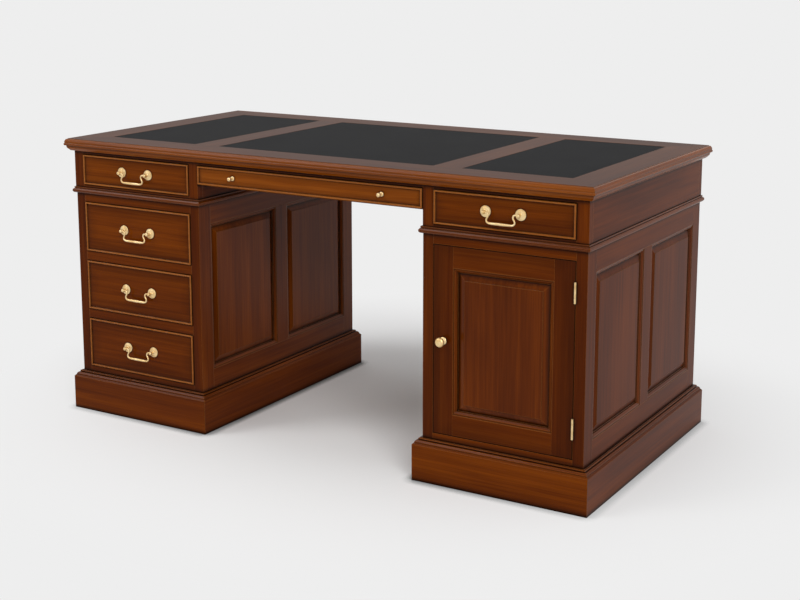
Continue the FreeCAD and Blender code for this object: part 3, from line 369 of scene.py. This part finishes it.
def brass():
    graph = Graph("brass")
    x, y, z = graph.place()
    tarnish = graph.noise(graph.vector(x, y, z), (60.0, 60.0, 60.0), detail=4.0)
    colour = graph.ramp(tarnish, [(0.35, (0.76, 0.50, 0.21)), (0.65, (0.96, 0.74, 0.40))])
    rough = graph.add(
        "ShaderNodeMapRange", {"Value": tarnish, "To Min": 0.44, "To Max": 0.34}
    ).outputs["Result"]
    rounded = graph.add("ShaderNodeBevel", {"Radius": 0.0006}, samples=4).outputs["Normal"]
    return graph.finish(Base_Color=colour, Metallic=0.75, Roughness=rough, Normal=rounded)


# Mouldings: a higher specular level and less painted crease shade.
MOULDED = {"specular": 0.12, "crease_shade": 0.6}
TOP = {"tones": TOP_TONE_AND_SHADE_MAHOGANY, "roughness": 0.42, "specular": 0.06}
border_round = mitred_round(0.0, FRIEZE_X, FRIEZE_Y)
pedestal_round = mitred_round(PEDESTAL_X, PEDESTAL_HALF_X, FACE_Y)
along_x = wood("mahogany_along_x", grain_x)
along_y = wood("mahogany_along_y", grain_y)
upright = wood("mahogany_upright", grain_z)
door_panel = wood("mahogany_door_panel", grain_z, specular=0.08)
MATERIALS = {
    # The moulded edge's lighter tone is a painted highlight.
    "top_border": wood("mahogany_border_edge", border_round, tones=EDGE_HIGHLIT_MAHOGANY, **MOULDED),
    # The crossbands' darker tone is partly their own, partly painted shade.
    "top_crossbands": wood("mahogany_crossbands", grain_y, **TOP),
    "frieze_posts": upright,
    "frieze_side_boards": along_y,
    "frieze_rails": along_x,
    "waist_mouldings": wood("mahogany_waist", pedestal_round, **MOULDED),
    "pedestal_stiles": upright,
    "pedestal_side_rails": along_y,
    "pedestal_side_panels": upright,
    "panel_mouldings": wood("mahogany_panel_mouldings", grain_of_panel_mouldings, **MOULDED),
    "pedestal_front_rails": along_x,
    "plinths": wood("mahogany_plinths", pedestal_round, tones=DRAWER_MAHOGANY, specular=0.06),
    "base_mouldings": wood("mahogany_base", pedestal_round, specular=0.08),
    "front_door_panel": door_panel,
    "rear_door_panel": door_panel,
}


def front_wood(kind, grain_from, face_y, tones=DRAWER_MAHOGANY):
    """Wood for the fronts of one kind, darker towards their outlines, with painted shade beside
    their gaps.
    """
    size = 2 * middle_and_half(f"front_{kind}")[1]
    return wood(f"mahogany_{kind}", grain_from, tones=tones, front=(size, face_y))


FRONTS = {
    "door_frame": front_wood("door_frame", grain_of_door, FACE_Y, MAHOGANY),
    "low_pedestal_drawer": front_wood("low_pedestal_drawer", grain_of_drawer, FACE_Y),
    # The frieze and centre drawers get lighter tones: painted light.
    "left_frieze_drawer": front_wood(
        "left_frieze_drawer", grain_of_drawer, FRIEZE_Y, FRIEZE_LIT_MAHOGANY
    ),
    "centre_drawer": front_wood("centre_drawer", grain_of_drawer, FRIEZE_Y, CENTRE_LIT_MAHOGANY),
}
for alike in ("middle_pedestal_drawer", "high_pedestal_drawer"):
    FRONTS[alike] = FRONTS["low_pedestal_drawer"]
FRONTS["right_frieze_drawer"] = FRONTS["left_frieze_drawer"]
inner_wood = wood("inner_boards", grain_y, tones=LINING, roughness=0.6)
BY_SLOT = {"leather": leather(), "brass": brass(), "inner_wood": inner_wood}

for name, node in frame["nodes"].items():
    finish = FRONTS.get(name.partition("_")[2]) or MATERIALS.get(name) or BY_SLOT[SLOT_OF[name]]
    node.data.materials.clear()
    node.data.materials.append(finish)


def further_finish(name, finish, where):
    """Gives one more finish to those faces of a node for which where(face) is true."""
    mesh = frame["nodes"][name].data
    mesh.materials.append(finish)
    for face in mesh.polygons:
        if where(face):
            face.material_index = len(mesh.materials) - 1


# The border's flat face is duller and darker than its moulded edge, whose lighter colour is a
# painted highlight; the face's darker colour is partly its own tone, partly painted shade.
BORDER_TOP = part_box("top_border")[1][2] - 0.0005
LEVEL = 0.99
SQUARE_ON = 0.9
BEAD_MARGIN = 0.0004
further_finish(
    "top_border",
    wood("mahogany_border_face", border_round, **TOP),
    lambda face: face.normal.z > LEVEL and face.center.z > BORDER_TOP,
)

# Inside the kneehole the wood has a lower specular level, and its stiles, rails, mouldings and
# panels are painted lighter, the panels most: painted light for the light that reaches in there.
KNEEHOLE_LIT = {"tones": DRAWER_MAHOGANY, "specular": 0.10}
kneehole_plinth = wood("mahogany_kneehole_plinth", grain_y, specular=0.05)

# The cocked beads round the drawers are lighter: partly rubbed wear, partly a painted highlight.
bead_worn_and_highlit = wood("mahogany_bead", grain_x, tones=BEAD_WORN_AND_HIGHLIT_MAHOGANY, **MOULDED)
for kind in FRONTS:
    for side in ("front", "rear"):
        face_y = FRIEZE_Y if "frieze" in kind or "centre" in kind else FACE_Y
        further_finish(
            f"{side}_{kind}", bead_worn_and_highlit, lambda face: abs(face.center.y) > face_y + BEAD_MARGIN
        )

# The stiles' faces at the front and the rear are darker than the rails between them.
further_finish(
    "pedestal_stiles",
    wood("mahogany_dark_stiles", grain_z, tones=STILE_MAHOGANY),
    lambda face: abs(face.normal.y) > SQUARE_ON,
)
dark_door_stiles = front_wood("door_frame", grain_of_door, FACE_Y, STILE_MAHOGANY)
for side in ("front", "rear"):
    further_finish(
        f"{side}_door_frame",
        dark_door_stiles,
        lambda face: abs(abs(face.center.x) - PEDESTAL_X) > DOOR_HALF.x - DOOR_STILE
        and abs(face.normal.y) > SQUARE_ON,
    )


def faces_kneehole(face):
    return abs(face.center.x) < PEDESTAL_X and face.normal.x * face.center.x < 0


# Painted light: the kneehole faces get their lighter copies.
for name, finish in {
    "pedestal_stiles": wood("mahogany_kneehole_stiles", grain_z, **KNEEHOLE_LIT),
    "pedestal_side_rails": wood("mahogany_kneehole_rails", grain_y, **KNEEHOLE_LIT),
    "pedestal_side_panels": wood(
        "mahogany_kneehole_panels", grain_z, tones=KNEEHOLE_LIT_MAHOGANY, specular=0.10
    ),
    "plinths": kneehole_plinth,
    "base_mouldings": kneehole_plinth,
    "panel_mouldings": wood("mahogany_kneehole_mouldings", grain_of_panel_mouldings, **KNEEHOLE_LIT),
}.items():
    further_finish(name, finish, faces_kneehole)

# ---------------------------------------------------------------- smooth brass


def skin(name, rings):
    """A smooth mesh through rings of points, closed at both ends."""
    count = len(rings[0])
    points = [point for ring in rings for point in ring]
    faces = []
    for step in range(len(rings) - 1):
        for turn in range(count):
            start, after = step * count + turn, step * count + (turn + 1) % count
            faces.append((start, after, after + count, start + count))
    faces.append(tuple(reversed(range(count))))
    faces.append(tuple(range(len(points) - count, len(points))))
    mesh = bpy.data.meshes.new(name)
    mesh.from_pydata(points, [], faces)
    mesh.polygons.foreach_set("use_smooth", [len(face) == 4 for face in faces])
    mesh.validate()
    return mesh


def lathe_rings(profile, at, out, turns=40):
    """Rings of a turning that stands out of a face along Y. The profile is (out, radius)."""
    rings = []
    for reach, radius in profile:
        rings.append([
            at + Vector((
                radius * math.cos(2 * math.pi * turn / turns),
                out * reach,
                -out * radius * math.sin(2 * math.pi * turn / turns),
            ))
            for turn in range(turns)
        ])
    return rings


def round_profile(points):
    """A smooth profile through a few points."""
    smooth = []
    for index in range(len(points) - 1):
        before, start = points[max(index - 1, 0)], points[index]
        end, after = points[index + 1], points[min(index + 2, len(points) - 1)]
        for step in range(4):
            smooth.append(spline(before, start, end, after, step / 4))
    return smooth + [points[-1]]


def spline(before, start, end, after, t):
    """A point on the smooth curve between start and end."""
    return tuple(
        0.5 * (
            2 * b
            + (c - a) * t
            + (2 * a - 5 * b + 4 * c - d) * t**2
            + (3 * b - a - 3 * c + d) * t**3
        )
        for a, b, c, d in zip(before, start, end, after)
    )


def stand_for(node, meshes):
    """Joins the meshes into one piece that is shown in place of a node."""
    piece = bpy.data.objects.new(f"{node}_smooth", meshes[0])
    bpy.context.scene.collection.objects.link(piece)
    parts = [bpy.data.objects.new(f"{node}_part", mesh) for mesh in meshes[1:]]
    for part in parts:
        bpy.context.scene.collection.objects.link(part)
    if parts:
        with bpy.context.temp_override(
            active_object=piece, selected_editable_objects=[piece, *parts]
        ):
            bpy.ops.object.join()
    piece.data.materials.clear()
    piece.data.materials.append(BY_SLOT["brass"])
    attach(piece, BODY_OF[node])
    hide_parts(node)


def without(node, middle, reach):
    """A node's mesh without what lies near a place."""
    mesh = frame["nodes"][node].data.copy()
    kept = bmesh.new()
    kept.from_mesh(mesh)
    near = [vertex for vertex in kept.verts if (vertex.co - middle).length < reach]
    bmesh.ops.delete(kept, geom=near, context="VERTS")
    kept.to_mesh(mesh)
    kept.free()
    return mesh


def face_and_side(node, low_face, high_face):
    """Where a node meets the wood behind it, and the sign of the way it stands out."""
    if node.startswith("front"):
        return high_face, -1
    return low_face, 1


ROSE = [(0.0, 0.0138), (0.0012, 0.0139), (0.0019, 0.0132), (0.0022, 0.0112), (0.0034, 0.0085)]
ROSE += [(0.0042, 0.0048), (0.0062, 0.0034), (0.0085, 0.0033), (0.0098, 0.0042)]
ROSE += [(0.0118, 0.0049), (0.0140, 0.0050), (0.0162, 0.0048), (0.0180, 0.0036), (0.0189, 0.0012)]
BALL = [(0.0, 0.0059), (0.0010, 0.0060), (0.0019, 0.0048), (0.0030, 0.0028), (0.0075, 0.0027)]
BALL += [(0.0095, 0.0038), (0.0116, 0.0052), (0.0140, 0.0055), (0.0164, 0.0051), (0.0182, 0.0034)]
BALL += [(0.0189, 0.0010)]
KNOB = [(0.0, 0.0092), (0.0014, 0.0093), (0.0026, 0.0078), (0.0042, 0.0052), (0.0085, 0.0046)]
KNOB += [(0.0118, 0.0060), (0.0140, 0.0100), (0.0165, 0.0118), (0.0190, 0.0119), (0.0215, 0.0108)]
KNOB += [(0.0238, 0.0076), (0.0249, 0.0022)]
POST_SPAN = 0.046
KNOB_SPAN = 0.228
KNOB_RADIUS = 0.012
KNOB_REACH = 0.030

BAIL_DROP = 0.0255
BAIL_GRIP = 0.0034

# Bail: (across, down, radius) from the right pin to the middle of the grip.
BAIL = [
    (0.0440, 0.0000, 0.00185), (0.0400, 0.0000, 0.00185), (0.0368, -0.0002, 0.0020),
    (0.0340, -0.0018, 0.0021), (0.0324, -0.0055, 0.0021), (0.0330, -0.0098, 0.0020),
    (0.0356, -0.0140, 0.0020), (0.0370, -0.0180, 0.0021), (0.0358, -0.0220, 0.0023),
    (0.0318, -0.0247, 0.0025), (0.0260, -0.0255, 0.0027), (0.0160, -0.0255, 0.0031),
    (0.0080, -0.0255, 0.0033), (0.0000, -0.0255, 0.0034),
]


def bail_rings(pivot, turns=16):
    path = round_profile(BAIL + [(-x, z, radius) for x, z, radius in reversed(BAIL[:-1])])
    rings = []
    for index, (x, z, radius) in enumerate(path):
        ahead, behind = path[min(index + 1, len(path) - 1)], path[max(index - 1, 0)]
        along = Vector((ahead[0] - behind[0], 0, ahead[1] - behind[1])).normalized()
        across = Vector((0, 1, 0)).cross(along)
        rings.append([
            pivot + Vector((x, 0, z))
            + across * radius * math.cos(2 * math.pi * turn / turns)
            + Vector((0, 1, 0)) * radius * math.sin(2 * math.pi * turn / turns)
            for turn in range(turns)
        ])
    return rings


for name in list(frame["nodes"]):
    if name.endswith(("_handle_posts", "_centre_knobs")):
        (low_x, low_y, low_z), (high_x, high_y, high_z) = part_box(name)
        face, out = face_and_side(name, low_y, high_y)
        middle = Vector(((low_x + high_x) / 2, face, (low_z + high_z) / 2))
        span, profile = (POST_SPAN, ROSE) if "posts" in name else (KNOB_SPAN, BALL)
        places = [middle + Vector((side * span, 0, 0)) for side in (-1, 1)]
        turnings = [lathe_rings(round_profile(profile), place, out) for place in places]
        stand_for(name, [skin(name, rings) for rings in turnings])
    if name.endswith("_door_brass"):
        (low_x, _, _), (high_x, _, _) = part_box(name)
        edge, out = face_and_side(name, high_x - KNOB_RADIUS, low_x + KNOB_RADIUS)
        at = Vector((edge, out * FACE_Y, DOOR_MIDDLE.z))
        knob = skin(name, lathe_rings(round_profile(KNOB), at, out))
        stand_for(name, [without(name, at, KNOB_REACH), knob])
    if name.endswith("_bail"):
        middle = middle_and_half(name)[0]
        pivot = Vector((middle.x, middle.y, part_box(name)[0][2] + BAIL_DROP + BAIL_GRIP))
        stand_for(name, [skin(name, bail_rings(pivot))])

# ---------------------------------------------------------------- studio

BACKDROP = 0.855
FLOOR_EVENNESS = 0.04
DESK_REACH = 0.5
EVEN_FROM = 1.3
FLOOR_HALF = 60.0
FLOOR_MIDDLE_Y = 0.15
FLOOR_PALE = (0.97, 0.97, 0.97, 1)
# Painted contact shadow: its colour, reach and depth right beside the desk.
FLOOR_SHADOW = (0.05, 0.05, 0.05, 1)
CONTACT_SHADOW_REACH, CONTACT_SHADOW_DEPTH = 0.03, 0.9
AROUND_TINT, AROUND_STRENGTH = (1.0, 0.99, 0.98), 0.05
LAMPS = {  # place, strength and the angle over which the lamp spreads, in degrees
    "key": ((-5.5, -4.6, 6.4), 0.62, 24),
    "fill": ((6.5, -6.0, 5.4), 1.12, 26),
    "dome": ((0, -1.0, 8.0), 1.68, 100),
}
CAMERA_PLACE = (2.0384, -3.3280, 1.3193)
CAMERA_DOWN, CAMERA_LEFT = 10.198, 30.794
CAMERA_LENS, CAMERA_SHIFT = 64.56, -0.125


def studio_world():
    """The even backdrop for camera, glossy and transmission rays, and faint light all round."""
    world = bpy.data.worlds.new("studio")
    bpy.context.scene.world = world
    world.use_nodes = True
    nodes, links = world.node_tree.nodes, world.node_tree.links
    nodes.clear()

    def light(colour, strength):
        node = nodes.new("ShaderNodeBackground")
        node.inputs["Color"].default_value = (*colour, 1.0)
        node.inputs["Strength"].default_value = strength
        return node.outputs[0]

    def mixed(factor, first, second):
        node = nodes.new("ShaderNodeMixShader")
        for socket, value in zip(node.inputs, (factor, first, second)):
            links.new(value, socket)
        return node.outputs[0]

    seen = light((BACKDROP, BACKDROP, BACKDROP), 1.0)
    around = light(AROUND_TINT, AROUND_STRENGTH)
    path = nodes.new("ShaderNodeLightPath").outputs
    shown = path["Is Camera Ray"]
    for kind in ("Is Glossy Ray", "Is Transmission Ray"):
        either = nodes.new("ShaderNodeMath")
        either.operation = "MAXIMUM"
        links.new(shown, either.inputs[0])
        links.new(path[kind], either.inputs[1])
        shown = either.outputs[0]
    output = nodes.new("ShaderNodeOutputWorld")
    links.new(mixed(shown, around, seen), output.inputs["Surface"])


def floor():
    """A pale floor that keeps the desk's shadows, with a painted contact shadow right beside the
    desk, and turns into the even backdrop far away.
    """
    size = FLOOR_HALF
    mesh = bpy.data.meshes.new("floor")
    corners = [(-size, -size, 0), (size, -size, 0), (size, size, 0), (-size, size, 0)]
    mesh.from_pydata(corners, [], [(0, 1, 2, 3)])
    plane = bpy.data.objects.new("floor", mesh)
    bpy.context.scene.collection.objects.link(plane)
    graph = Graph("floor")
    true = graph.add("ShaderNodeNewGeometry", {}).outputs["True Normal"]
    # Painted shadow: the floor darkens right beside the desk.
    contact_shadow = graph.occlusion_shade(true, CONTACT_SHADOW_REACH, CONTACT_SHADOW_DEPTH)
    colour = graph.pick(contact_shadow, FLOOR_PALE, FLOOR_SHADOW)
    matte = graph.finish(Base_Color=colour, Roughness=0.9, Specular_IOR_Level=0.0)
    path = graph.add("ShaderNodeLightPath", {}).outputs
    x, y, z = graph.place()
    from_middle = graph.vector(x, graph.math("SUBTRACT", y, FLOOR_MIDDLE_Y), z)
    centre = graph.add("ShaderNodeVectorMath", {0: from_middle}, operation="LENGTH")

    away = centre.outputs["Value"]
    even = graph.add("ShaderNodeEmission", {"Color": (BACKDROP, BACKDROP, BACKDROP, 1)})
    share = graph.changing(away, DESK_REACH, EVEN_FROM, FLOOR_EVENNESS, 1.0)
    seen = graph.math("MAXIMUM", path["Is Camera Ray"], path["Is Glossy Ray"])
    seen = graph.math("MAXIMUM", seen, path["Is Transmission Ray"])
    share = graph.math("MULTIPLY", seen, share)
    sides = {0: share, 1: graph.surface.outputs[0], 2: even.outputs[0]}
    shown = graph.add("ShaderNodeMixShader", sides)
    output = graph.tree.nodes["Material Output"]
    graph.put(output.inputs["Surface"], shown.outputs[0])
    mesh.materials.append(matte)


def lamp(name, place, strength, degrees):
    data = bpy.data.lights.new(name, "SUN")
    data.energy = strength
    data.angle = math.radians(degrees)
    thing = bpy.data.objects.new(name, data)
    thing.location = place
    thing.rotation_euler = (Vector() - Vector(place)).to_track_quat("-Z", "Y").to_euler()
    bpy.context.scene.collection.objects.link(thing)
    return thing


def camera():
    data = bpy.data.cameras.new("camera")
    data.sensor_width = 36.0
    data.lens = CAMERA_LENS
    data.shift_y = CAMERA_SHIFT
    data.clip_end = 200.0
    thing = bpy.data.objects.new("camera", data)
    thing.location = CAMERA_PLACE
    thing.rotation_euler = (math.radians(90 - CAMERA_DOWN), 0.0, math.radians(CAMERA_LEFT))
    bpy.context.scene.collection.objects.link(thing)
    bpy.context.scene.camera = thing


studio_world()
floor()
for name, (place, strength, degrees) in LAMPS.items():
    shining = lamp(name, place, strength, degrees)
    shining.visible_glossy = name != "dome"
camera()
bpy.context.scene.view_settings.view_transform = "Standard"
